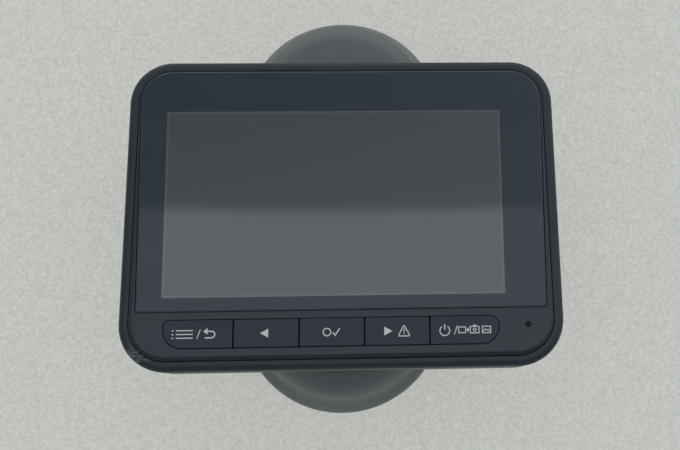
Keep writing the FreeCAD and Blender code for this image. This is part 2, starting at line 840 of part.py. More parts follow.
def heat_spreader(start):
    """A finned aluminium plate over the processor."""
    spreader = new_body("heat_spreader", CAMERA)
    plate_thick, fin_height = 0.8, 1.3
    first, pitch, fin = -27.2, 2.9, 0.8
    extrude(spreader, "plate", [rectangle(-28.0, -14.7, 1.0, 23.0, 1.5)], start, start + plate_thick)
    fins = [rectangle(first + pitch * i, first + pitch * i + fin, 2.5, 17.0) for i in range(5)]
    base = start + plate_thick
    extrude(spreader, "fins", fins, base - SMALL, base + fin_height)


def speaker():
    """A small loudspeaker: a basket with a magnet on its back and a dished cone in front."""
    back = dim("speaker_back")
    magnet, basket, cone = 5.0, 7.8, 6.6
    profile = [
        (back + 1.8, 0), (back + 2.2, 5.4), (back + 3.2, cone), (back + 3.2, basket),
        (back + 1.2, basket), (back + 1.2, magnet), (back, magnet), (back, 0),
    ]
    turned("speaker", profile, CAMERA, x=SPEAKER[0], z=SPEAKER[1])


def memory_card():
    """The memory card in its sprung cage."""
    middle = dim("card_offset")
    half = dim("card_width") / 2
    depth = dim("card_depth")
    back = depth + dim("card_thick")
    low = -dim("housing_height") / 2 + dim("card_setback")
    high = low + dim("card_length")
    notch, notch_start, notch_stop = 1.3, 5.0, 3.8
    card = new_body("memory_card", CAMERA)
    shape = outline(
        (middle - half, low, 0.5), (middle + half, low, 0.5), (middle + half, high - notch_start, 0.3),
        (middle + half - notch, high - notch_stop, 0.3), (middle + half - notch, high, 0.5),
        (middle - half, high, 0.5),
    )
    extrude(card, "plate", [shape], depth, back)
    finger = rectangle(middle - 4, middle + 4, low + 0.5, low + 1.3, 0.3)
    carve(card, "finger_line", [finger], depth - SMALL, depth + 0.25)
    wall = 1.4
    outer = box(
        "card_cage", middle - half - wall, middle + half + wall, depth - 0.5, dim("board_depth"),
        low + 2.1, high + 0.9,
    )
    inner = box(
        "card_room", middle - half - SMALL, middle + half + SMALL, depth - SMALL, back + SMALL,
        low, high + 0.3,
    )
    node("card_socket", less("card_socket_body", outer, inner), CAMERA)


def power_socket():
    """The power socket: a steel can with a tongue, open at the top edge of the housing."""
    half = dim("usb_width") / 2
    middle = dim("usb_offset")
    start = BOARD_BACK
    stop = start + dim("usb_thick")
    top = dim("housing_height") / 2 - dim("shell_wall") - 0.1
    length, wall, tongue_thick = 6.5, 0.4, 0.7
    can = box("usb_can", middle - half, middle + half, start, stop, top - length, top)
    room = box(
        "usb_room", middle - half + wall, middle + half - wall, start + wall, stop - wall,
        top - length + 0.5, top + 1,
    )
    tongue_start = (start + stop - tongue_thick) / 2
    tongue_half = half - 1.6
    tongue = box(
        "usb_tongue", middle - tongue_half, middle + tongue_half, tongue_start,
        tongue_start + tongue_thick, top - length + 0.3, top - 0.8,
    )
    node("usb_socket", joined("usb_body", less("usb_shell", can, room), tongue), CAMERA)


# ---------------------------------------------------------------- lens

def lens_group():
    """Sensor, filter, holder, barrel, lens elements and the trim ring, on the lens axis."""
    rise = dim("lens_rise")
    back = BOARD_BACK
    sensor, sensor_thick = 3.5, 0.8
    block = box("sensor_block", -4, 4, back, back + sensor_thick, rise - sensor, rise + sensor)
    node("image_sensor", block, CAMERA)
    lens_holder(rise)
    pane, pane_start = 5.0, back + 1.1
    filter_block = box("filter_block", -pane, pane, pane_start, pane_start + 0.4, rise - pane, rise + pane)
    node("infrared_filter", filter_block, CAMERA)
    radius = dim("lens_barrel_radius")
    bore = radius - 1.0
    throat = 4.0
    barrel = [
        (back + 1.75, throat), (BOSS_TOP - 2.6, throat), (BOSS_TOP - 2.6, bore - 0.3),
        (BOSS_TOP - 0.4, bore + 0.3), (BOSS_TOP - 0.4, radius), (back + 1.75, radius),
    ]
    turned("lens_barrel", barrel, CAMERA, z=rise)
    front = dim("front_lens_radius") - 0.75
    crown = BOSS_TOP + dim("lens_proud")
    dome = [
        (BOSS_TOP - 2.5, 0), (crown, 0), (crown - 0.25, 2.0), (crown - 0.85, 4.0),
        (BOSS_TOP - 1.1, front), (BOSS_TOP - 2.5, front),
    ]
    turned("front_lens", dome, CAMERA, z=rise)
    elements = [
        rod(f"inner_lens_{i}", "y", (0, start, rise), throat - 0.05, thick)
        for i, (start, thick) in enumerate([(back + 2.4, 1.2), (back + 4.2, 0.9)])
    ]
    node("inner_lenses", elements, CAMERA)
    lens_ring(rise)


def lens_holder(rise):
    """The block that carries the barrel over the sensor."""
    back = BOARD_BACK
    step_stop = back + 1.7
    half, room_half = 8.6, 5.2
    block = box("holder_block", -half, half, back, back + 3.5, rise - half, rise + half)
    room = box("holder_room", -room_half, room_half, back - 1, step_stop, rise - room_half, rise + room_half)
    throat = rod("holder_throat", "y", (0, back, rise), dim("lens_barrel_radius") + 0.02, 5.0)
    step = box("holder_step", -half, half, back, step_stop, rise - half, rise + half)
    upper = less("holder_upper", block, throat)
    lower = less("holder_lower", step, room)
    node("lens_holder", joined("holder_body", upper, lower), CAMERA)


def lens_ring(rise):
    """The dished trim ring round the lens."""
    outer = dim("lens_ring_radius")
    inner = dim("lens_ring_inner")
    under = BOSS_TOP - dim("lens_ring_thick")
    lip = BOSS_TOP + 0.2
    profile = [
        (under, inner), (lip, inner), (lip + 0.1, inner + 0.4), (BOSS_TOP - 0.5, outer - 1.7),
        (lip, outer - 1.2), (lip, outer - 0.3), (BOSS_TOP - 0.2, outer), (under, outer),
    ]
    turned("lens_ring", profile, CAMERA, z=rise)


# ---------------------------------------------------------------- screws

def screw(name, place, outer_face, head_thick, shank_radius, shank_length, towards):
    """A screw along Y with a round drive recess: its shank runs towards -Y or +Y of its head."""
    x, z = place
    head_radius = dim("screw_head")
    recess_radius, recess_depth = head_radius * 0.42, 0.5
    head_start = outer_face - head_thick if towards < 0 else outer_face
    shank_start = head_start - shank_length if towards < 0 else head_start + head_thick
    head = rod(f"{name}_head", "y", (x, head_start, z), head_radius, head_thick)
    shank = rod(f"{name}_shank", "y", (x, shank_start, z), shank_radius, shank_length)
    recess = rod(f"{name}_recess", "y", (x, outer_face - recess_depth, z), recess_radius, 2 * recess_depth)
    return less(f"{name}_driven", joined(f"{name}_blank", head, shank), recess)


def screws():
    """The four case screws, the four board screws and the two bracket screws."""
    face = dim("housing_depth")
    shank = dim("screw_radius")
    head = 0.8
    case = [
        screw(f"case_screw_{i}", place, face - 0.4, 1.2, shank, 9.8, -1)
        for i, place in enumerate(CASE_SCREWS)
    ]
    node("case_screws", case, CAMERA)
    board = [
        screw(f"board_screw_{i}", place, dim("board_depth") - head, head, shank - 0.1, 4.0, 1)
        for i, place in enumerate(BOARD_SCREWS)
    ]
    node("board_screws", board, CAMERA)
    plate = [
        screw(f"bracket_screw_{i}", place, face + dim("bracket_plate") + head, head, shank, 4.6, -1)
        for i, place in enumerate(BRACKET_SCREWS)
    ]
    node("bracket_screws", plate, CAMERA)


# ---------------------------------------------------------------- folding mount

def camera_bracket():
    """The steel bracket on the housing's front, with the two ears of the camera hinge."""
    bracket = new_body("camera_bracket", BRACKET)
    face = dim("housing_depth")
    plate_top = face + dim("bracket_plate")
    axis_y, axis_z = HINGE_IN_CAMERA
    reach = dim("knuckle_radius")
    tip = reach - 0.05
    plate_half, plate_low, plate_high = 13.4, 15.0, 28.3
    plate = rectangle(-plate_half, plate_half, plate_low, plate_high, 2.0)
    extrude(bracket, "plate", [plate], face, plate_top)
    root = (face + plate_top) / 2
    profile = outline(
        (root, axis_z - reach, 0), (axis_y + reach, axis_z - reach, tip),
        (axis_y + reach, axis_z + reach, tip), (root, axis_z + reach, 0),
    )
    inner = dim("ear_inner")
    outer = inner + dim("bracket_ear")
    extrude(bracket, "left_ear", [profile], -outer, -inner, "YZ_Plane")
    extrude(bracket, "right_ear", [profile], inner, outer, "YZ_Plane")
    hole = circle(axis_y, axis_z, dim("pin_radius") + 0.01)
    carve(bracket, "pin_hole", [hole], -outer - 1, outer + 1, "YZ_Plane")
    offset, rise = dim("bracket_screw_offset"), dim("bracket_screw_rise")
    holes = circles([(-offset, rise), (offset, rise)], dim("screw_radius") + 0.1)
    carve(bracket, "screw_holes", holes, face - SMALL, plate_top + SMALL)


def fold_arm():
    """The arm between the two hinges: a bar with a long recess on each side and two knuckles."""
    arm = new_body("fold_arm", MOUNT)
    half = dim("arm_half_width")
    low = dim("base_hinge_rise")
    high = dim("camera_hinge_rise")
    axis = -dim("hinge_depth")
    under, top = -dim("arm_near"), -dim("arm_far")
    bar = outline((under, low, 0), (top, low, 0), (top, high, 0), (under, high, 0))
    extrude(arm, "bar", [bar], -half, half, "YZ_Plane")
    reach = dim("knuckle_radius")
    extrude(arm, "base_knuckle", [circle(axis, low, reach)], -half, half, "YZ_Plane")
    extrude(arm, "camera_knuckle", [circle(axis, high, reach)], -half, half, "YZ_Plane")
    bore = dim("pin_radius") + dim("running_fit")
    holes = [circle(axis, low, bore), circle(axis, high, bore)]
    carve(arm, "bores", holes, -half - 1, half + 1, "YZ_Plane")
    wall, clear, depth = 1.6, 7.5, 0.8
    recess = rectangle(-half + wall, half - wall, low + clear, high - clear, wall)
    carve(arm, "near_recess", [recess], under - SMALL, under + depth)
    carve(arm, "far_recess", [recess], top - depth, top + SMALL)
    bar_low, bar_high = low.value + 3.5, high.value - 3.5

    def on_bar_side(point):
        return near(abs(point.x), half) and bar_low < point.z < bar_high

    soften(arm, "bar_edges", on_bar_side, 0.5)


def hinge_hardware(label, frame, axis_y, axis_z, ear_outer):
    """The pin with its head, the nut and the washers of one hinge."""
    radius = dim("pin_radius")
    play = 0.04
    left = -ear_outer - play
    right = ear_outer + play
    head_radius, head_thick = 2.9, 1.3
    nut_radius, nut_thick = 3.1, 1.7
    shank = rod(f"{label}_shank", "x", (left, axis_y, axis_z), radius, right - left + 2.0)
    head = rod(f"{label}_head", "x", (left - head_thick, axis_y, axis_z), head_radius, head_thick)
    node(f"{label}_pin", joined(f"{label}_pin_body", shank, head), frame)
    nut = doc.addObject("Part::Prism", f"{label}_nut_block")
    nut.Polygon = 6
    nut.Circumradius = nut_radius
    nut.Height = nut_thick
    bind_place(nut, (right, axis_y, axis_z), TURN["x"])
    bore = rod(f"{label}_nut_bore", "x", (right - 1, axis_y, axis_z), radius + 0.01, 4.0)
    node(f"{label}_nut", less(f"{label}_nut_body", nut, bore), frame)
    thick = dim("washer_thick")
    inside = dim("ear_inner") - 0.02
    washers = []
    for i, start in enumerate((-inside, inside - thick)):
        disc = rod(f"{label}_disc_{i}", "x", (start, axis_y, axis_z), 3.3, thick)
        hole = rod(f"{label}_disc_hole_{i}", "x", (start - 1, axis_y, axis_z), radius + 0.02, 3.0)
        washers.append(less(f"{label}_washer_{i}", disc, hole))
    node(f"{label}_washers", washers, frame)


def base_housing():
    """The domed oval base over the suction cup, with hinge ears and the lever's round well."""
    base = new_body("base_housing", MOUNT)
    under = -dim("cup_thick")
    top = under - dim("base_thick")
    extrude(base, "plate", [oval(dim("housing_inset"))], top, under)
    soften(base, "edge", lambda p: near(p.y, top), dim("base_edge_round"))
    axis = -dim("hinge_depth")
    rise = dim("base_hinge_rise")
    reach = dim("knuckle_radius")
    tip = reach - 0.05
    root = top + 1
    ear = outline(
        (axis - reach, rise - reach, tip), (root, rise - reach, 0),
        (root, rise + reach, 0), (axis - reach, rise + reach, tip),
    )
    inner = dim("ear_inner")
    outer = inner + dim("base_ear")
    extrude(base, "left_ear", [ear], -outer, -inner, "YZ_Plane")
    extrude(base, "right_ear", [ear], inner, outer, "YZ_Plane")
    hole = circle(axis, rise, dim("pin_radius") + 0.01)
    carve(base, "pin_hole", [hole], -outer - 1, outer + 1, "YZ_Plane")
    floor = top + dim("well_depth")
    carve(base, "lever_well", [circle(0, 0, dim("well_radius"))], top - SMALL, floor)
    extrude(base, "stops", lever_stops(), floor - 2.2, floor + 0.5)
    head_room = circle(0, 0, dim("stem_head_radius") + 0.3)
    carve(base, "stem_room", [head_room], under - 1.5, under + SMALL)
    bore = circle(0, 0, dim("stem_radius") + dim("running_fit"))
    carve(base, "stem_bore", [bore], top, under)


def lever_stops():
    """Drawing steps: the two round pegs that end the lever's sweep."""
    along = dim("lever_reach") - 3
    aside = dim("lever_half_width") + 1.3
    stops = []
    for angle, turn in ((size(0), -1), (dim("lever_sweep"), 1)):
        x = along * cosine(angle) - aside * turn * sine(angle)
        z = along * sine(angle) + aside * turn * cosine(angle)
        stops.append(circle(x, z, 1.1))
    return stops


def suction_cup():
    """The rubber cup, flat on the glass, with a peel tab at its side and the stem's pocket."""
    cup = new_body("suction_cup", MOUNT)
    skirt = dim("cup_skirt")
    thick = dim("cup_thick")
    pad_inset = 2.4
    tab_left, tab_right, tab_half, tab_lift = 26.0, 35.0, 5.5, 0.4
    extrude(cup, "skirt", [oval()], -skirt, 0)
    extrude(cup, "pad", [oval(pad_inset)], -thick, -skirt + 0.2)
    tab = rectangle(tab_left, tab_right, -tab_half, tab_half, 2.5)
    extrude(cup, "peel_tab", [tab], -skirt, -tab_lift)
    pocket = circle(0, 0, dim("stem_head_radius") + 0.4)
    pocket_floor = -thick + dim("stem_head_thick") + 0.45
    carve(cup, "stem_pocket", [pocket], -thick - SMALL, pocket_floor)


def twist_lock():
    """The twist lever, the stem that it pulls and the ring that holds the lever on the stem."""
    under = -dim("cup_thick")
    floor = under - dim("base_thick") + dim("well_depth")
    back = floor - 0.2
    front = back - dim("lever_thick")
    lever = new_body("twist_lever", MOUNT)
    extrude(lever, "disc", [circle(0, 0, dim("lever_disc_radius"))], front, back)
    half = dim("lever_half_width")
    reach = dim("lever_reach")
    extrude(lever, "handle", [rectangle(4, reach, -half, half, 2.2)], front, back)
    border, grip_length, grip_rise = 0.6, 8.4, 1.9
    grip = rectangle(reach - border - grip_length, reach - border, -half + border, half - border, 1.8)
    extrude(lever, "grip", [grip], front - grip_rise, front + 0.5)
    soften(lever, "grip_edge", lambda p: near(p.y, front - grip_rise), 0.8)
    bore = circle(0, 0, dim("stem_radius") + dim("running_fit"))
    carve(lever, "bore", [bore], front - SMALL, back + SMALL)
    ring_back = front - 0.1
    tip = ring_back - 0.8
    shaft = dim("stem_radius")
    head = dim("stem_head_radius")
    head_start = under + 0.2
    head_stop = head_start + dim("stem_head_thick")
    stem = [
        (tip, 0), (head_stop, 0), (head_stop, head), (head_start, head), (head_start, shaft), (tip, shaft),
    ]
    turned("pull_stem", stem, MOUNT)
    outer = 5.2
    ring = [
        (tip, shaft), (ring_back, shaft), (ring_back, outer), (tip + 0.3, outer), (tip, outer - 0.3),
    ]
    turned("stem_ring", ring, MOUNT)


# ---------------------------------------------------------------- assembly

front_shell()
rear_bezel()
key_electronics([key_cap(index) for index in range(len(KEY_NAMES))])
screen_stack()
main_electronics()
speaker()
memory_card()
power_socket()
lens_group()
screws()
camera_bracket()
fold_arm()
hinge_hardware("camera_hinge", BRACKET, *HINGE_IN_CAMERA, dim("ear_inner") + dim("bracket_ear"))
base_ears = dim("ear_inner") + dim("base_ear")
hinge_hardware("base_hinge", MOUNT, -dim("hinge_depth"), dim("base_hinge_rise"), base_ears)
base_housing()
suction_cup()
twist_lock()
doc.recompute()

for thing in doc.Objects:
    if "Invalid" in thing.State or "Error" in thing.State:
        raise RuntimeError(f"{thing.Name} is {thing.State}")
os.makedirs("parts", exist_ok=True)
for label, thing in nodes.items():
    shape = thing.Shape
    if shape.isNull() or not shape.isValid() or not shape.Solids:
        raise RuntimeError(f"{label} has no valid solid")
    shape.exportStep(f"parts/{label}.step")
print(f"{len(nodes)} nodes")
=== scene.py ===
import math

import bmesh
import bpy
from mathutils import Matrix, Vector


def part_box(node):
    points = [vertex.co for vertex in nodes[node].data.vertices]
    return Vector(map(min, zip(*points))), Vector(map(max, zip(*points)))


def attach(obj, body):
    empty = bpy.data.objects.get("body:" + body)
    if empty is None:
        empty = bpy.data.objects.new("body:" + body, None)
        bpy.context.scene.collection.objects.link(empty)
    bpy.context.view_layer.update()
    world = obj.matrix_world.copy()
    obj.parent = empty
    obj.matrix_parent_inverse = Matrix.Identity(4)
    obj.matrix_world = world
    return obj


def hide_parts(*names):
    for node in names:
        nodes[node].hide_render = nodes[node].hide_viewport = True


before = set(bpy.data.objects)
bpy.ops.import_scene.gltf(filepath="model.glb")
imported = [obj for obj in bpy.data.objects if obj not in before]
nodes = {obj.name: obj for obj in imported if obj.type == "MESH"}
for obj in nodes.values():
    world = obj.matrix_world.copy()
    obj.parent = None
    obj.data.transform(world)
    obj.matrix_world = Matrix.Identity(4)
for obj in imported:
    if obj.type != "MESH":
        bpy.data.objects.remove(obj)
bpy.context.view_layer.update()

MM = 0.001


def middle_of(node):
    """The middle of a node as seen from the front: x and z."""
    low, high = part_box(node)
    return (low.x + high.x) / 2, (low.z + high.z) / 2


# ---------------------------------------------------------------- node helpers

class Tree:
    """A short way to write a node tree: each call adds a node and returns one of its outputs."""

    def __init__(self, tree):
        self.tree = tree
        tree.nodes.clear()

    def add(self, kind, inputs=None, output=0, **settings):
        """Adds a node. An input is another node's output or a value; a colour is (red, green, blue)."""
        made = self.tree.nodes.new(kind)
        for name, value in settings.items():
            setattr(made, name, value)
        for key, value in (inputs or {}).items():
            socket = made.inputs[key]
            if isinstance(value, bpy.types.NodeSocket):
                self.tree.links.new(value, socket)
            elif socket.type == "RGBA":
                socket.default_value = (*value, 1.0)
            else:
                socket.default_value = value
        self.last = made
        return made.outputs[output] if made.outputs else None

    def math(self, operation, first, second=0.0, third=None):
        inputs = {0: first, 1: second}
        if third is not None:
            inputs[2] = third
        return self.add("ShaderNodeMath", inputs, operation=operation)

    def times(self, first, second):
        return self.math("MULTIPLY", first, second)

    def line(self, value, slope, level):
        """value * slope + level."""
        return self.math("MULTIPLY_ADD", value, slope, level)

    def between(self, value):
        """The value, held between 0 and 1."""
        return self.add("ShaderNodeClamp", {0: value})

    def vector(self, operation, first, second):
        """The number that a vector operation gives, such as a dot product or a distance."""
        return self.add("ShaderNodeVectorMath", {0: first, 1: second}, "Value", operation=operation)

    def axes(self, vector):
        self.add("ShaderNodeSeparateXYZ", {0: vector})
        return self.last.outputs

    def mix(self, share, first, second):
        """The first colour where share is 0 and the second where it is 1."""
        return self.add("ShaderNodeMix", {0: share, 6: first, 7: second}, 2, data_type="RGBA")

    def ramp(self, value, *stops):
        """A black and white ramp of (position, brightness) stops."""
        out = self.add("ShaderNodeValToRGB", {0: value})
        elements = self.last.color_ramp.elements
        for element, (position, level) in zip(elements, stops):
            element.position = position
            element.color = (level, level, level, 1)
        return out

    def surface(self, quantity):
        """A quantity of the surface point, such as its Normal."""
        return self.add("ShaderNodeNewGeometry", output=quantity)

    def place(self, scale=(1, 1, 1)):
        """The position on the piece at rest, stretched by a scale."""
        where = self.add("ShaderNodeTexCoord", output="Object")
        return self.add("ShaderNodeMapping", {"Vector": where, "Scale": scale})

    def noise(self, where, per_metre, detail=2.0, roughness=0.5):
        inputs = {"Vector": where, "Scale": per_metre, "Detail": detail, "Roughness": roughness}
        return self.add("ShaderNodeTexNoise", inputs)

    def cells(self, where, per_metre):
        """The distance to the nearest of many scattered points."""
        return self.add("ShaderNodeTexVoronoi", {"Vector": where, "Scale": per_metre})

    def bump(self, height, strength, distance, normal=None):
        inputs = {"Height": height, "Strength": strength, "Distance": distance}
        if normal is not None:
            inputs["Normal"] = normal
        return self.add("ShaderNodeBump", inputs)

    def blend(self, share, first, second):
        """The first shader where share is 0 and the second where it is 1."""
        return self.add("ShaderNodeMixShader", {0: share, 1: first, 2: second})

    def close(self, shader):
        self.add("ShaderNodeOutputMaterial", {"Surface": shader})

    def principled(self, **inputs):
        """The usual shader; inputs are its sockets, with _ for a space."""
        named = {name.replace("_", " "): value for name, value in inputs.items()}
        return self.add("ShaderNodeBsdfPrincipled", named)


def new_material(name):
    material = bpy.data.materials.new(name)
    material.use_nodes = True
    return material, Tree(material.node_tree)


def shaded(base, factor, lift=0.0):
    """A colour made lighter or darker."""
    return tuple(min(1.0, part * factor + lift) for part in base)


def edge_share(tree, radius):
    """How sharply the surface turns, 0 on flats, and the normal with its edges rounded."""
    rounded = tree.add("ShaderNodeBevel", {"Radius": radius}, samples=4)
    agree = tree.vector("DOT_PRODUCT", rounded, tree.surface("Normal"))
    return tree.math("SUBTRACT", 1.0, agree), rounded


# ---------------------------------------------------------------- kinds of material

SCRAPE_PALE = (0.12, 0.135, 0.145)


def scraped(tree, tone, where, centre, reach):
    """The tone with fine pale scratches round a centre."""
    away = tree.math("DIVIDE", tree.vector("DISTANCE", where, centre), reach)
    inside = tree.ramp(away, (0.3, 1.0), (1.0, 0.0))
    scratches = tree.ramp(tree.noise(tree.place((1, 1, 3)), 700.0, 4.0, 0.7), (0.5, 0.0), (0.62, 1.0))
    return tree.mix(tree.times(tree.times(inside, scratches), 0.75), tone, SCRAPE_PALE)


def plastic(name, base, roughness=0.45, grain=2600.0, depth=0.006, shine=0.5, edge_wear_and_highlight=0.5, edge=0.12,
            coat=0.0, rub=None):
    """Moulded plastic: spark-eroded grain, faint handling marks and rounded edges that are lighter in
    patches, partly rubbed and partly a painted edge highlight.

    Grain is its count per metre; depth and edge, the radius that edges are shaded with, are in mm.
    A rub is a scraped place: its centre and its reach."""
    material, tree = new_material(name)
    where = tree.place()
    marks = tree.noise(where, 45.0, 3.0, 0.6)
    fine = tree.noise(where, grain, 3.0, 0.65)
    pits = tree.cells(where, grain * 0.8)
    edges, rounded = edge_share(tree, edge * MM)
    lighter = shaded(base, 1.9, 0.012)
    tone = tree.mix(tree.ramp(marks, (0.35, 0.0), (0.7, 1.0)), shaded(base, 0.82), base)
    tone = tree.mix(tree.times(fine, 0.10), tone, lighter)
    # Edges lighter where the marks fall: partly rubbed plastic, partly a painted highlight along the edges.
    worn_and_highlit = tree.times(tree.ramp(edges, (0.02, 0.0), (0.35, edge_wear_and_highlight)), marks)
    tone = tree.mix(worn_and_highlit, tone, lighter)
    if rub:
        tone = scraped(tree, tone, where, *rub)
    rough = tree.line(fine, 0.08, tree.line(marks, 0.12, roughness - 0.06))
    height = tree.math("ADD", fine, tree.times(pits, 0.6))
    normal = tree.bump(height, 0.6, depth * MM, rounded)
    shader = tree.principled(Base_Color=tone, Roughness=rough, Normal=normal, Specular_IOR_Level=shine,
                             Coat_Weight=coat, Coat_Roughness=0.12)
    tree.close(shader)
    return material


def metal(name, base, roughness=0.3):
    """Drawn metal with fine level streaks, a little tarnish and bright edges."""
    material, tree = new_material(name)
    streaks = tree.noise(tree.place((1, 1, 18)), 900.0, 4.0, 0.7)
    stains = tree.noise(tree.place(), 120.0, 3.0, 0.6)
    edges, rounded = edge_share(tree, 0.08 * MM)
    tone = tree.mix(tree.ramp(stains, (0.3, 0.0), (0.75, 1.0)), shaded(base, 0.7), base)
    tone = tree.mix(tree.ramp(edges, (0.02, 0.0), (0.3, 0.7)), tone, shaded(base, 1.25))
    rough = tree.line(streaks, 0.2, roughness - 0.1)
    normal = tree.bump(streaks, 0.35, 0.004 * MM, rounded)
    shader = tree.principled(Base_Color=tone, Metallic=1.0, Roughness=rough, Normal=normal)
    tree.close(shader)
    return material


def lens_glass(name, centre_tint, rim_tint, clarity):
    """Coated lens glass: dark in the middle, with the coating's colour towards its rim."""
    material, tree = new_material(name)
    facing = tree.add("ShaderNodeLayerWeight", {"Blend": 0.35}, "Facing")
    haze = tree.noise(tree.place(), 400.0, 2.0, 0.5)
    tone = tree.mix(facing, centre_tint, rim_tint)
    tone = tree.mix(tree.times(haze, 0.15), tone, (0.3, 0.35, 0.4))
    shader = tree.principled(Base_Color=tone, Roughness=0.04, Transmission_Weight=clarity, IOR=1.6,
                             Coat_Weight=1.0, Coat_Tint=(0.7, 0.85, 1.0), Coat_Roughness=0.02)
    tree.close(shader)
    return material


def rubber(name, base, roughness=0.5, glow=0.05):
    """Soft moulded rubber with a faint bloom, fine grain and a little light passing through."""
    material, tree = new_material(name)
    where = tree.place()
    bloom = tree.noise(where, 60.0, 5.0, 0.7)
    fine = tree.noise(where, 1800.0, 3.0, 0.6)
    rounded = edge_share(tree, 0.15 * MM)[1]
    tone = tree.mix(tree.ramp(bloom, (0.35, 0.0), (0.75, 1.0)), base, shaded(base, 1.16, 0.006))
    rough = tree.line(bloom, 0.2, roughness - 0.1)
    normal = tree.bump(fine, 0.5, 0.006 * MM, rounded)
    shader = tree.principled(Base_Color=tone, Roughness=rough, Normal=normal, Subsurface_Weight=glow,
                             Subsurface_Scale=2 * MM)
    tree.close(shader)
    return material


def circuit_board(name, mask_dark, mask_light, track, pad_size):
    """Solder mask over copper tracks, with tinned pads; a pad size of 0 leaves them out."""
    material, tree = new_material(name)
    where = tree.place()
    tracks = tree.add("ShaderNodeTexBrick", {"Vector": where, "Scale": 260.0, "Mortar Size": 0.09}, 1)
    pads = tree.math("LESS_THAN", tree.cells(where, 700.0), pad_size)
    mottle = tree.noise(where, 300.0, 3.0, 0.5)
    tone = tree.mix(tracks, tree.mix(mottle, mask_dark, mask_light), track)
    tone = tree.mix(pads, tone, (0.75, 0.68, 0.5))
    normal = tree.bump(tree.math("ADD", tracks, pads), 0.5, 0.02 * MM)
    shader = tree.principled(Base_Color=tone, Roughness=0.35, Metallic=pads, Normal=normal)
    tree.close(shader)
    return material


def ink(name, base):
    """Pad-printed ink: slightly uneven and matt."""
    material, tree = new_material(name)
    uneven = tree.noise(tree.place(), 2500.0, 3.0, 0.6)
    tone = tree.mix(uneven, base, shaded(base, 1.12))
    normal = tree.bump(uneven, 0.4, 0.004 * MM)
    shader = tree.principled(Base_Color=tone, Roughness=0.6, Normal=normal)
    tree.close(shader)
    return material


# ---------------------------------------------------------------- screen glass

SCREEN_WIDTH = 66.4 * MM
SCREEN_HEIGHT = 37.35 * MM
PANEL_GREYS = ((0.030, 0.036, 0.041), (0.038, 0.044, 0.050))
PANEL_OUTLINE = (0.085, 0.09, 0.095)
BORDER_BLACKS = ((0.015, 0.0225, 0.0325), (0.021, 0.029, 0.038))
# The grey of the painted sheen and the smears on the border.
SHEEN_AND_SMEAR_GREY = (0.034, 0.044, 0.052)
DUST_GREY = (0.35, 0.36, 0.35)
# The pale ground edge of the glass, with a painted highlight where it faces up.
GROUND_EDGE_AND_HIGHLIGHT = (0.13, 0.165, 0.19)


def strip(tree, coordinate, middle, half, blur):
    """1 where a coordinate is within half of the middle and 0 beyond, over a blurred edge."""
    away = tree.math("ABSOLUTE", tree.math("SUBTRACT", coordinate, middle))
    share = tree.math("DIVIDE", tree.math("SUBTRACT", half, away), blur)
    return tree.between(tree.math("ADD", share, 0.5))


def screen_glass():
    """The cover: black printed border with wipe marks and a painted sheen that grows towards the right,
    grey display in its window, dust, and a ground edge with a painted highlight where it faces up.
    """
    material, tree = new_material("screen_glass_mat")
    where = tree.add("ShaderNodeTexCoord", output="Object")
    across, _, upright = tree.axes(where)
    middle_x, middle_z = middle_of("lcd_panel")

    def window(margin, blur):
        """1 inside the picture area grown by a margin, 0 outside."""
        columns = strip(tree, across, middle_x, SCREEN_WIDTH / 2 + margin, blur)
        rows = strip(tree, upright, middle_z, SCREEN_HEIGHT / 2 + margin, blur)
        return tree.times(columns, rows)

    wipes = tree.noise(tree.place((1, 1, 2.5)), 60.0, 4.0, 0.6)
    fine = tree.noise(tree.place(), 3000.0, 2.0, 0.5)
    shown = window(0.0, 0.10 * MM)
    outline = tree.math("SUBTRACT", shown, window(-0.4 * MM, 0.3 * MM))
    panel = tree.mix(tree.times(fine, 0.5), *PANEL_GREYS)
    panel = tree.mix(tree.times(outline, 0.35), panel, PANEL_OUTLINE)

    # Painted sheen: the border turns greyer towards the right, in streaks where it is wiped.
    rightward = tree.line(across, 0.5 / SCREEN_WIDTH, 0.5 - 0.5 * middle_x / SCREEN_WIDTH)
    sheen_and_smears = tree.times(rightward, tree.line(wipes, 0.4, 0.25))
    border = tree.mix(sheen_and_smears, tree.mix(wipes, *BORDER_BLACKS), SHEEN_AND_SMEAR_GREY)
    tone = tree.mix(shown, border, panel)
    dust = tree.math("LESS_THAN", tree.cells(where, 210.0), 0.022)
    tone = tree.mix(tree.times(dust, 0.35), tone, DUST_GREY)

    _, front, up = tree.axes(tree.surface("Normal"))
    ground = tree.ramp(tree.math("ADD", front, 1.0), (0.03, 0.0), (0.35, 1.0))
    # Painted highlight: the ground edge is lighter where it faces up, as if lit from overhead, and in
    # streaks with the wipes.
    top_highlight = tree.ramp(tree.line(up, 0.5, 0.5), (0.2, 0.25), (0.75, 1.0))
    top_highlight = tree.times(top_highlight, tree.line(wipes, 0.9, 0.4))
    tone = tree.mix(tree.times(ground, top_highlight), tone, GROUND_EDGE_AND_HIGHLIGHT)

    gloss = tree.line(shown, 0.46, 0.02)
    shader = tree.principled(Base_Color=tone, Roughness=0.05, Specular_IOR_Level=gloss, Coat_Weight=1.0,
                             Coat_Roughness=tree.line(wipes, 0.03, 0.01), Coat_IOR=1.29)
    tree.close(shader)
    return material


# ---------------------------------------------------------------- materials of the CAD nodes

def paint(material, *names):
    for name in names:
        mesh = nodes[name].data
        mesh.materials.clear()
        mesh.materials.append(material)


KEYS = ("menu_key", "previous_key", "confirm_key", "next_key", "power_key")
shell_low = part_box("front_shell")[0]
SCRAPED_CORNER = shell_low + Vector((3.6, 0.3, 2.6)) * MM
SCRAPE_REACH = 3.4 * MM

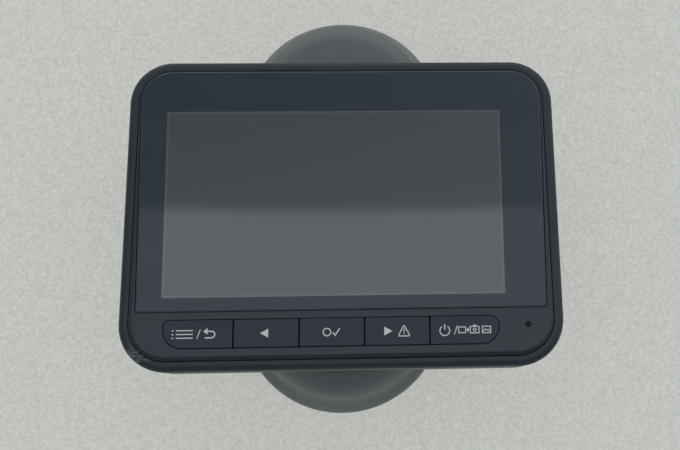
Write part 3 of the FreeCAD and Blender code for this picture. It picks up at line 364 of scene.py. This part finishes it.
paint(plastic("shell_black_mat", (0.0115, 0.0190, 0.0260), roughness=0.40, grain=2400.0, depth=0.010,
              shine=0.32, edge_wear_and_highlight=0.9, edge=0.22, rub=(SCRAPED_CORNER, SCRAPE_REACH)), "front_shell")
paint(plastic("bezel_black_mat", (0.0095, 0.0155, 0.0240), roughness=0.36, grain=3200.0, shine=0.42),
      "rear_bezel")
paint(plastic("key_black_mat", (0.0110, 0.0175, 0.0290), roughness=0.38, grain=3200.0, shine=0.30), *KEYS)
paint(screen_glass(), "cover_glass")
paint(plastic("smoked_pipe_mat", (0.006, 0.006, 0.007), roughness=0.3, grain=3000.0, depth=0.002,
              shine=0.12), "status_light_pipe")

paint(plastic("mount_grey_mat", (0.082, 0.092, 0.096), roughness=0.4, grain=2200.0, depth=0.008),
      "base_housing")
paint(plastic("arm_grey_mat", (0.035, 0.037, 0.040), roughness=0.42, grain=2200.0, depth=0.010), "fold_arm")
paint(plastic("lever_grey_mat", (0.045, 0.048, 0.052), roughness=0.38, grain=2200.0, depth=0.008),
      "twist_lever", "pull_stem", "stem_ring")
paint(plastic("bracket_paint_mat", (0.014, 0.015, 0.017), roughness=0.5, grain=1400.0, depth=0.02,
              edge_wear_and_highlight=0.9), "camera_bracket")
paint(metal("steel_mat", (0.55, 0.55, 0.56), 0.32), "lcd_bracket", "card_socket", "usb_socket",
      "microphone", "camera_hinge_pin", "base_hinge_pin", "camera_hinge_nut", "base_hinge_nut")
paint(metal("dark_steel_mat", (0.12, 0.12, 0.125), 0.4), "case_screws", "board_screws", "bracket_screws")
paint(metal("aluminium_mat", (0.75, 0.76, 0.77), 0.35), "heat_spreader")

paint(plastic("dark_plastic_mat", (0.016, 0.017, 0.018), roughness=0.5, depth=0.008),
      "speaker", "lens_holder", "lens_barrel", "memory_card")
paint(plastic("gloss_black_mat", (0.010, 0.011, 0.013), roughness=0.22, grain=3000.0, depth=0.002,
              coat=0.6), "lens_ring")
front_glass = lens_glass("front_glass_mat", (0.01, 0.012, 0.02), (0.10, 0.05, 0.22), 0.35)
paint(front_glass, "front_lens")
paint(lens_glass("inner_glass_mat", (0.02, 0.05, 0.04), (0.05, 0.12, 0.10), 0.8), "inner_lenses")
paint(lens_glass("filter_glass_mat", (0.3, 0.45, 0.5), (0.5, 0.2, 0.25), 0.9), "infrared_filter")

paint(plastic("chip_epoxy_mat", (0.02, 0.02, 0.021), roughness=0.55, grain=3500.0, depth=0.01),
      "processor", "memory_chips", "image_sensor", "key_switches")
paint(circuit_board("green_board_mat", (0.008, 0.07, 0.03), (0.012, 0.10, 0.04), (0.03, 0.16, 0.06), 0.16),
      "main_board")
paint(circuit_board("black_board_mat", (0.004, 0.005, 0.006), (0.006, 0.007, 0.008),
                    (0.01, 0.012, 0.013), 0.0), "key_board")
paint(plastic("amber_film_mat", (0.4, 0.16, 0.02), roughness=0.25, grain=1200.0, depth=0.003),
      "screen_cable")
paint(plastic("milky_mat", (0.7, 0.7, 0.68), roughness=0.4, grain=1500.0, depth=0.003),
      "lcd_backlight", "camera_hinge_washers", "base_hinge_washers")
paint(plastic("lcd_grey_mat", (0.06, 0.062, 0.065), roughness=0.2, grain=4000.0, depth=0.001), "lcd_panel")
paint(plastic("cell_wrap_mat", (0.06, 0.10, 0.22), roughness=0.3, grain=900.0, depth=0.004),
      "backup_battery")
paint(rubber("gasket_foam_mat", (0.02, 0.02, 0.02), 0.8, 0.0), "glass_gasket")
paint(rubber("heat_pad_soft_mat", (0.35, 0.38, 0.42), 0.7, 0.1), "heat_pad")
cup_rubber = rubber("cup_rubber_mat", (0.102, 0.115, 0.116), 0.38, 0.12)
legend_ink = ink("legend_ink_mat", (0.36, 0.375, 0.385))


# ---------------------------------------------------------------- mesh helpers

def mesh_piece(name, body, material, shape, smooth=True):
    """Makes a piece that rides on a body from a bmesh, which it frees."""
    bmesh.ops.remove_doubles(shape, verts=shape.verts, dist=1e-7)
    bmesh.ops.recalc_face_normals(shape, faces=shape.faces)
    mesh = bpy.data.meshes.new(name)
    shape.to_mesh(mesh)
    shape.free()
    mesh.materials.append(material)
    for polygon in mesh.polygons:
        polygon.use_smooth = smooth
    piece = bpy.data.objects.new(name, mesh)
    bpy.context.scene.collection.objects.link(piece)
    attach(piece, body)
    return piece


def arc_points(x, z, radius, first, last, count):
    """Points on an arc; angles in degrees, 0 to the right and 90 up."""
    steps = [math.radians(first + (last - first) * i / (count - 1)) for i in range(count)]
    return [(x + radius * math.cos(step), z + radius * math.sin(step)) for step in steps]


def circle(x, z, radius, y, count):
    """A loop of points round an axis along Y."""
    steps = [2 * math.pi * i / count for i in range(count)]
    return [(x + radius * math.cos(step), y, z + radius * math.sin(step)) for step in steps]


def skin(shape, loops):
    """Closes a stack of loops with the same count of points into one solid skin."""
    rings = [[shape.verts.new(point) for point in loop] for loop in loops]
    count = len(rings[0])
    for one, two in zip(rings, rings[1:]):
        for i in range(count):
            j = (i + 1) % count
            shape.faces.new((one[i], one[j], two[j], two[i]))
    shape.faces.new(rings[0])
    shape.faces.new(rings[-1])


# ---------------------------------------------------------------- printed legends on the keys

# In millimetres, as the symbols are.
INK_THICK = 0.03
STROKE = 0.21


class Pen:
    """Draws ink on a key. Points are in millimetres, right of and above the symbol's middle."""

    def __init__(self, shape, x, z, face):
        self.shape = shape
        self.x, self.z, self.face = x, z, face

    def corner(self, point, lift):
        """A corner of the ink at a point, on the key's face or lifted off it."""
        x, z = point
        return self.shape.verts.new((self.x + x * MM, self.face - lift * MM, self.z + z * MM))

    def fill(self, points):
        """A flat patch of ink inside an outline."""
        front = [self.corner(point, INK_THICK) for point in points]
        back = [self.corner(point, 0.0) for point in points]
        self.shape.faces.new(front)
        self.shape.faces.new(back[::-1])
        for i in range(len(points)):
            j = (i + 1) % len(points)
            self.shape.faces.new((front[i], back[i], back[j], front[j]))

    def sides(self, points, half, closed):
        """The two sides of a stroke along points, with mitred joints."""
        sides = []
        for i, point in enumerate(points):
            along = []
            if closed or i > 0:
                along.append((point - points[i - 1]).normalized())
            if closed or i < len(points) - 1:
                along.append((points[(i + 1) % len(points)] - point).normalized())
            normals = [Vector((-way.y, way.x)) for way in along]
            mitre = sum(normals, Vector((0, 0))).normalized()
            reach = half / max(0.35, mitre.dot(normals[0]))
            sides.append((point + mitre * reach, point - mitre * reach))
        return sides

    def line(self, points, closed=False, weight=1.0):
        """A stroke of ink along points; weight is its width against the usual one."""
        points = [Vector(point) for point in points]
        rows = []
        for pair in self.sides(points, STROKE * weight / 2, closed):
            rows.append([self.corner(side, lift) for side in pair for lift in (INK_THICK, 0.0)])
        spans = len(rows) if closed else len(rows) - 1
        for i in range(spans):
            one, two = rows[i], rows[(i + 1) % len(rows)]
            for a, b in ((0, 2), (2, 3), (3, 1), (1, 0)):
                self.shape.faces.new((one[a], one[b], two[b], two[a]))
        if not closed:
            for row in (rows[0], rows[-1]):
                self.shape.faces.new((row[0], row[2], row[3], row[1]))


def slash(pen):
    pen.line([(-0.32, -0.875), (0.32, 0.875)], weight=0.8)


def list_icon(pen):
    """Three lines, each with a bullet."""
    for level in (-0.72, 0.0, 0.72):
        pen.line([(-2.0, level), (-1.65, level)])
        pen.line([(-1.2, level), (2.0, level)])


def return_icon(pen):
    """An arrow that turns back to the left."""
    bend = arc_points(0.35, -0.1, 0.62, -90, 90, 12)
    pen.line([(-0.9, -0.72)] + bend + [(-0.45, 0.52)], weight=1.15)
    pen.fill([(-0.4, 1.15), (-1.25, 0.52), (-0.4, -0.1)])


def left_icon(pen):
    pen.fill([(0.72, 0.85), (-0.85, 0.0), (0.72, -0.85)])


def right_icon(pen):
    pen.fill([(-0.72, -0.85), (0.85, 0.0), (-0.72, 0.85)])


def confirm_icon(pen):
    """A ring and a tick."""
    pen.line(arc_points(-0.85, 0.0, 0.72, 0, 345, 24), closed=True)
    pen.line([(0.25, -0.05), (0.75, -0.62), (1.6, 0.72)], weight=1.1)


def caution_icon(pen):
    """A rounded triangle with a bar and a dot in it."""
    corners = [Vector(corner) for corner in ((-1.15, -1.0), (1.15, -1.0), (0.0, 1.15))]
    cut = 0.34
    outline = []
    for i, corner in enumerate(corners):
        before = (corners[i - 1] - corner).normalized() * cut
        after = (corners[(i + 1) % 3] - corner).normalized() * cut
        for share in (0.0, 0.25, 0.5, 0.75, 1.0):
            outline.append(corner + before * (1 - share) ** 2 + after * share ** 2)
    pen.line(outline, closed=True, weight=0.95)
    pen.line([(0.0, -0.28), (0.0, 0.42)], weight=0.9)
    pen.line([(0.0, -0.68), (0.0, -0.46)], weight=0.9)


def power_icon(pen):
    """A ring, open at the top, with a bar through the gap."""
    pen.line(arc_points(0.0, -0.1, 0.95, 125, 415, 30))
    pen.line([(0.0, 0.1), (0.0, 1.2)])


def mode_icons(pen):
    """A film camera, a still camera and a picture in a frame."""
    def border(middle, width, height):
        left, right, top = middle - width / 2, middle + width / 2, height / 2
        pen.line([(left, -top), (right, -top), (right, top), (left, top)], closed=True, weight=0.85)

    border(-2.25, 1.35, 1.1)
    pen.fill([(-1.4, -0.1), (-0.95, -0.5), (-0.95, 0.5), (-1.4, 0.1)])
    border(0.2, 1.7, 1.25)
    pen.line(arc_points(0.2, 0.0, 0.3, 0, 330, 12), closed=True, weight=0.8)
    pen.fill([(-0.15, 0.72), (0.55, 0.72), (0.4, 0.98), (0.0, 0.98)])
    border(2.5, 1.6, 1.25)
    pen.line([(1.85, -0.42), (2.25, 0.15), (2.55, -0.2), (2.8, 0.05), (3.15, -0.42)], weight=0.7)


# The symbols of each key, with each one's offset in mm to the right of the key's middle.
LEGENDS = {
    "menu": ((list_icon, -2.9), (slash, 0.2), (return_icon, 2.3)),
    "previous": ((left_icon, -0.3),),
    "confirm": ((confirm_icon, -0.1),),
    "next": ((right_icon, -1.8), (caution_icon, 1.3)),
    "power": ((power_icon, -3.9), (slash, -1.75), (mode_icons, 1.7)),
}


def legends():
    """One piece of printing for each key, which rides on the key's body."""
    for key, symbols in LEGENDS.items():
        x, z = middle_of(f"{key}_key")
        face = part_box(f"{key}_key")[0].y
        shape = bmesh.new()
        for symbol, offset in symbols:
            symbol(Pen(shape, x + offset * MM, z, face))
        mesh_piece(f"{key}_key_legend", f"{key}_button", legend_ink, shape, smooth=False)


legends()


# ---------------------------------------------------------------- suction cup

CUP_END_RADIUS = 22.4 * MM
CUP_END_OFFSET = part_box("suction_cup")[1].z - CUP_END_RADIUS
CUP_BLEND = math.radians(55)
CUP_POINTS = 192
LIP_WIDTH = 0.8 * MM
GROOVES = (2.1 * MM, 4.0 * MM, 5.9 * MM)
GROOVE_HALF = 0.55 * MM
GROOVE_DEPTH = 0.42 * MM
DISH_DEPTH = 1.1 * MM
DISH_REACH = 17.0 * MM

# The insets of the face's loops: close together over the grooves, then far apart over the dish.
FACE_INSETS = [LIP_WIDTH + 0.18 * MM * i for i in range(34)] + [(8.0 + 2.0 * i) * MM for i in range(6)]

# Profiles in mm. The back is a round pocket: (radius, y). The edge is (inset from the lip, y).
CUP_BACK = ((0.02, -2.95), (8.0, -2.95), (8.4, -3.2), (8.4, -4.3), (8.65, -4.58))
CUP_EDGE = ((3.2, -4.58), (2.5, -4.3), (2.4, -3.2), (2.3, -2.2), (2.0, -1.85), (1.4, -1.5),
            (0.5, -1.05), (0.08, -0.75), (0.0, -0.45), (0.06, -0.2), (0.3, -0.04))
# The button in the middle of the face: (radius, height over the dish).
CUP_BUTTON = ((3.4, 0.0), (3.0, 0.1), (2.7, 0.3), (0.02, 0.34))


def oval(inset, y):
    """A loop on the cup's four-centre oval, drawn in from its edge by an inset."""
    side_shift = CUP_END_OFFSET * math.tan(CUP_BLEND)
    end_radius = CUP_END_RADIUS - inset
    side_radius = end_radius + CUP_END_OFFSET / math.cos(CUP_BLEND)
    quarter = math.pi / 2
    loop = []
    for i in range(CUP_POINTS):
        angle = 2 * math.pi * i / CUP_POINTS
        across, up = math.cos(angle), math.sin(angle)
        from_side = abs((angle + quarter) % math.pi - quarter)
        if from_side < quarter - CUP_BLEND:
            x, z, radius = -math.copysign(side_shift, across), 0.0, side_radius
        else:
            x, z, radius = 0.0, math.copysign(CUP_END_OFFSET, up), end_radius
        loop.append((x + radius * across, y, z + radius * up))
    return loop


def face_level(inset):
    """The height of the contact face at an inset from the lip: a shallow dish with moulded grooves."""
    share = min(1.0, (inset - LIP_WIDTH) / DISH_REACH)
    level = -DISH_DEPTH * math.sin(share * math.pi / 2) ** 2
    for groove in GROOVES:
        away = abs(inset - groove) / GROOVE_HALF
        if away < 1:
            level -= GROOVE_DEPTH * math.cos(away * math.pi / 2) ** 2
    return level


def rounded_rectangle(left, right, half_height, corner, inset):
    """Points of a rounded rectangle, anticlockwise from its right side, drawn in by an inset."""
    left, right, half_height = left + inset, right - inset, half_height - inset
    corner = max(corner - inset, 0.05 * MM)
    points = []
    quarters = ((right, -half_height, 270), (right, half_height, 0), (left, half_height, 90),
                (left, -half_height, 180))
    for x, z, start in quarters:
        centre_x = x - math.copysign(corner, x - (left + right) / 2)
        centre_z = z - math.copysign(corner, z)
        points += arc_points(centre_x, centre_z, corner, start, start + 90, 8)
    return points


def soft_slab(shape, left, right, half_height, corner, front, back, edge):
    """A rounded slab between two levels of y, its front edge rolled over."""
    insets = []
    for step in range(5):
        angle = math.radians(22.5 * step)
        insets.append((edge * (1 - math.sin(angle)), front + edge * (1 - math.cos(angle))))
    insets.append((0.0, back))
    loops = []
    for inset, y in insets:
        outline = rounded_rectangle(left, right, half_height, corner, inset)
        loops.append([(x, y, z) for x, z in outline])
    skin(shape, loops)


def peel_tab(shape, end):
    """The tongue at the cup's side, with three ribs for the fingers."""
    soft_slab(shape, left=end - 9 * MM, right=end, half_height=5.5 * MM, corner=2.5 * MM,
              front=-1.6 * MM, back=-0.4 * MM, edge=0.45 * MM)
    rib_half = 0.3 * MM
    for step in range(3):
        middle = end - (1.7 + 1.3 * step) * MM
        soft_slab(shape, left=middle - rib_half, right=middle + rib_half, half_height=3.4 * MM,
                  corner=rib_half, front=-1.95 * MM, back=-1.4 * MM, edge=0.2 * MM)


def suction_cup():
    """A thin-lipped oval rubber cup with grooves on its dished contact face and a peel tab."""
    loops = [circle(0, 0, radius * MM, y * MM, CUP_POINTS) for radius, y in CUP_BACK]
    loops += [oval(inset * MM, y * MM) for inset, y in CUP_EDGE]
    loops += [oval(inset, face_level(inset)) for inset in FACE_INSETS]
    floor = face_level(LIP_WIDTH + DISH_REACH)
    loops += [circle(0, 0, radius * MM, floor + rise * MM, CUP_POINTS) for radius, rise in CUP_BUTTON]
    shape = bmesh.new()
    skin(shape, loops)
    peel_tab(shape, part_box("suction_cup")[1].x)
    piece = mesh_piece("suction_cup_rubber", "mount_base", cup_rubber, shape)
    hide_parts("suction_cup")


suction_cup()


# ---------------------------------------------------------------- front lens

LENS_SAG = 1.8 * MM
LENS_BEVEL = 0.15 * MM
LENS_TIP = 0.02 * MM


def front_lens():
    """The domed outer lens: a spherical cap with a ground rim."""
    low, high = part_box("front_lens")
    x, z = middle_of("front_lens")
    rim = (high.x - low.x) / 2
    sphere = (rim * rim + LENS_SAG * LENS_SAG) / (2 * LENS_SAG)
    profile = []
    for step in range(16):
        radius = max(LENS_TIP, rim * step / 15)
        profile.append((radius, high.y - sphere + math.sqrt(sphere * sphere - radius * radius)))
    profile += [(rim, low.y + LENS_BEVEL), (rim - LENS_BEVEL, low.y), (LENS_TIP, low.y)]
    shape = bmesh.new()
    skin(shape, [circle(x, z, radius, y, 96) for radius, y in profile])
    piece = mesh_piece("front_lens_glass", "camera", front_glass, shape)
    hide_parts("front_lens")


front_lens()


# ---------------------------------------------------------------- stage, light and camera

PAPER_HALF = 1.2
PAPER_LEVEL = 0.25 * MM
PAPER_DARK, PAPER_PALE = (0.455, 0.475, 0.44), (0.635, 0.655, 0.615)
PAPER_PATCH = (0.50, 0.515, 0.48)
EVEN_LIGHT = 0.7
SURROUND = (0.52, 0.542, 0.507)


def backdrop():
    """The pale paper-like surface that the mount lies on. It shows only from its front, and fades
    where it is seen almost edge on, so that it never hides the object's back."""
    material, tree = new_material("paper_mat")
    where = tree.place()
    fibres = tree.noise(where, 1400.0, 4.0, 0.7)
    patches = tree.noise(where, 9.0, 2.0, 0.5)
    tone = tree.mix(tree.ramp(fibres, (0.3, 0.0), (0.7, 1.0)), PAPER_DARK, PAPER_PALE)
    tone = tree.mix(tree.times(patches, 0.25), tone, PAPER_PATCH)
    matt = tree.principled(Base_Color=tone, Roughness=0.9, Normal=tree.bump(fibres, 0.4, 0.05 * MM),
                           Specular_IOR_Level=0.1)
    even = tree.add("ShaderNodeEmission", {"Color": tone, "Strength": 1.0})
    paper = tree.blend(EVEN_LIGHT, matt, even)
    towards_front = tree.vector("DOT_PRODUCT", tree.surface("Incoming"), (0.0, -1.0, 0.0))
    shown = tree.times(tree.add("ShaderNodeLightPath", output="Is Camera Ray"),
                       tree.ramp(towards_front, (0.12, 0.0), (0.4, 1.0)))
    shown = tree.times(shown, tree.math("SUBTRACT", 1.0, tree.surface("Backfacing")))
    tree.close(tree.blend(shown, tree.add("ShaderNodeBsdfTransparent"), paper))
    square = ((-1, -1), (1, -1), (1, 1), (-1, 1))
    corners = [(x * PAPER_HALF, PAPER_LEVEL, z * PAPER_HALF) for x, z in square]
    mesh = bpy.data.meshes.new("pale_surface")
    mesh.from_pydata(corners, [], [(0, 1, 2, 3)])
    mesh.materials.append(material)
    sheet = bpy.data.objects.new("pale_surface", mesh)
    bpy.context.scene.collection.objects.link(sheet)


# What the shiny surfaces reflect. Heights are in degrees above the horizon, and the half width is the
# sideways part of a direction of length 1.
WINDOW_TOP = 12.13
WINDOW_LOW = -9.0
WINDOW_HALF_WIDTH = 0.42
WINDOW_LIGHT = (1.55, 1.6, 1.72)
GLOW_TOP = WINDOW_TOP + 2.5
OVERHEAD = 38.0
OVERHEAD_LIGHT = (1.2, 1.27, 1.33)
ROOM_LEFT, ROOM_RIGHT = (0.30, 0.34, 0.37), (0.92, 0.95, 0.97)
ROOM_FLOOR = (0.10, 0.12, 0.14)
ROOM_BEHIND = (0.5, 0.51, 0.48)
# What lights the matt surfaces, from below and from above.
DAYLIGHT = ((0.82, 0.84, 0.86), (1.22, 1.22, 1.21))


def sky():
    """Even light for matt surfaces; reflections see a dim room, a bright window and light overhead."""
    world = bpy.data.worlds.new("soft_studio")
    bpy.context.scene.world = world
    world.use_nodes = True
    tree = Tree(world.node_tree)
    across, along, up = tree.axes(tree.add("ShaderNodeTexCoord", output="Generated"))

    def step(value, edge, sharpness):
        """0 below the edge and 1 above it; a negative sharpness swaps them."""
        return tree.between(tree.line(tree.math("SUBTRACT", value, edge), sharpness, 0.5))

    def over(degrees, sharpness):
        return step(up, math.sin(math.radians(degrees)), sharpness)

    def background(light):
        return tree.add("ShaderNodeBackground", {"Color": light, "Strength": 1.0})

    ahead = step(tree.math("ABSOLUTE", across), WINDOW_HALF_WIDTH, -6.0)
    window = tree.times(tree.times(over(WINDOW_TOP, -160.0), over(WINDOW_LOW, 14.0)), ahead)
    glow = tree.times(tree.times(over(GLOW_TOP, -11.0), ahead), 0.13)
    room = tree.mix(step(across, 0.3, 0.9), ROOM_LEFT, ROOM_RIGHT)
    room = tree.mix(glow, room, WINDOW_LIGHT)
    room = tree.mix(over(WINDOW_LOW, -5.0), room, ROOM_FLOOR)
    room = tree.mix(over(OVERHEAD, 5.0), room, OVERHEAD_LIGHT)
    room = tree.mix(window, room, WINDOW_LIGHT)
    mirrored = tree.mix(step(along, 0.0, 6.0), room, ROOM_BEHIND)
    daylight = tree.mix(tree.line(up, 0.5, 0.5), *DAYLIGHT)

    tree.add("ShaderNodeLightPath")
    ray = tree.last.outputs
    light = tree.blend(ray["Is Glossy Ray"], background(daylight), background(mirrored))
    seen = tree.blend(ray["Is Camera Ray"], light, background(SURROUND))
    tree.add("ShaderNodeOutputWorld", {"Surface": seen})


CAMERA_PLACE = Vector((8.54, -225.90, -48.84)) * MM
CAMERA_TURN = (103.03, 1.30, -3.09)
CAMERA_LENS, CAMERA_SENSOR = 61.8, 36.0
CAMERA_SHIFT = (-0.1668, -0.0499)


def camera():
    """The camera stands 0.23 m in front of the screen and a little below it, looking up 13 degrees.

    Its place is measured from the middle of the screen side. Its shift stands for a picture cut
    from the lower left of a larger one."""
    x, z = middle_of("front_shell")
    screen_side = Vector((x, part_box("cover_glass")[0].y, z))
    data = bpy.data.cameras.new("camera")
    data.sensor_width = CAMERA_SENSOR
    data.lens = CAMERA_LENS
    data.shift_x, data.shift_y = CAMERA_SHIFT
    data.clip_start = 0.01
    holder = bpy.data.objects.new("camera", data)
    bpy.context.scene.collection.objects.link(holder)
    holder.location = screen_side + CAMERA_PLACE
    holder.rotation_euler = [math.radians(angle) for angle in CAMERA_TURN]
    bpy.context.scene.camera = holder


backdrop()
sky()
camera()
bpy.context.scene.view_settings.view_transform = "Standard"
